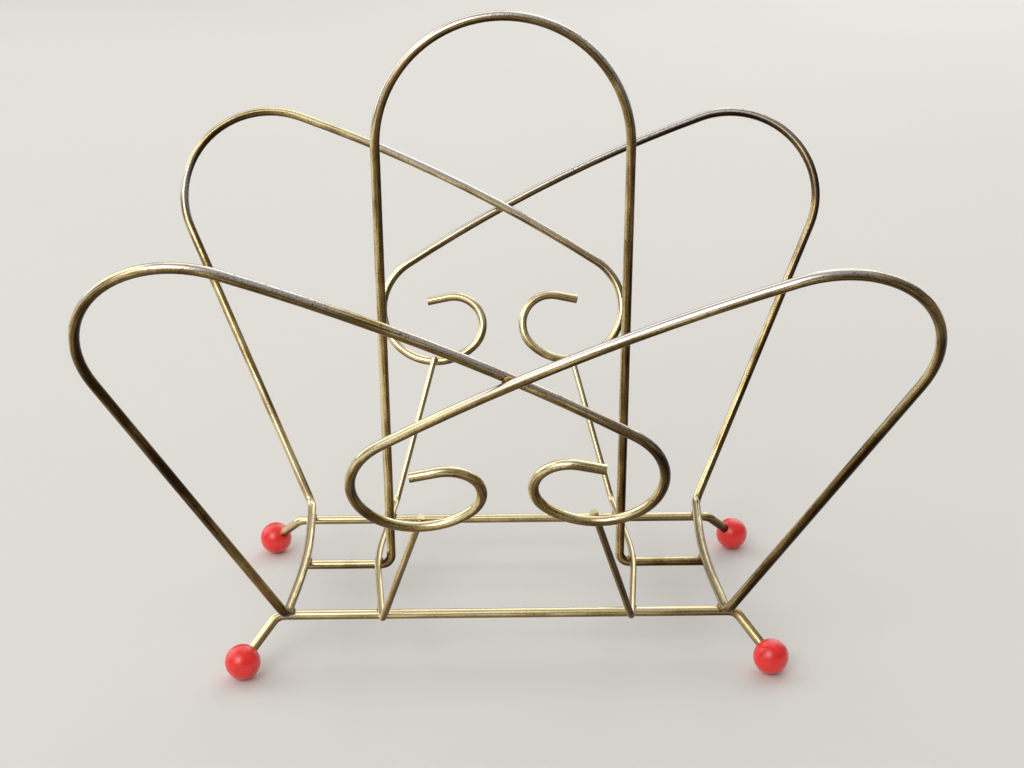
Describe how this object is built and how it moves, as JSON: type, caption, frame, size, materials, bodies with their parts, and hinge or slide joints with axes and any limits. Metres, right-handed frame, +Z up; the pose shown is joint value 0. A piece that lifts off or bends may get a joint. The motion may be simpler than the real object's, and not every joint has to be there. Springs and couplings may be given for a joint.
{
  "type": "magazine rack",
  "caption": "Free-standing rack of bent, welded wire: crossing loops that end in scrolls lean out from a tall middle hoop, on rails with ball feet, with a pocket on each side for magazines.",
  "frame": {"origin": "on the floor under the middle of the rack, between the four ball feet", "axes": "+X along the two rails to the right, +Y square to the hoop to the back, +Z up; the hoop stands in the XZ plane"},
  "size_m": [0.4193, 0.3986, 0.3586],
  "materials": {
    "wire": "worn brass plating on steel wire, satin with brown tarnish",
    "ball": "red paint, satin",
    "weld": "dull, heat-darkened"
  },
  "bodies": {
    "root": {"front_rail": "wire", "rear_rail": "wire", "left_loop": "wire", "right_loop": "wire", "left_strut": "wire", "right_strut": "wire", "hoop": "wire", "ball_foot_front_left": "ball", "ball_foot_front_right": "ball", "ball_foot_rear_left": "ball", "ball_foot_rear_right": "ball", "front_rail_welds": "weld", "rear_rail_welds": "weld", "left_hoop_welds": "weld", "right_hoop_welds": "weld", "front_scroll_welds": "weld", "rear_scroll_welds": "weld", "front_crossing_weld": "weld", "rear_crossing_weld": "weld"}
  },
  "joints": []
}
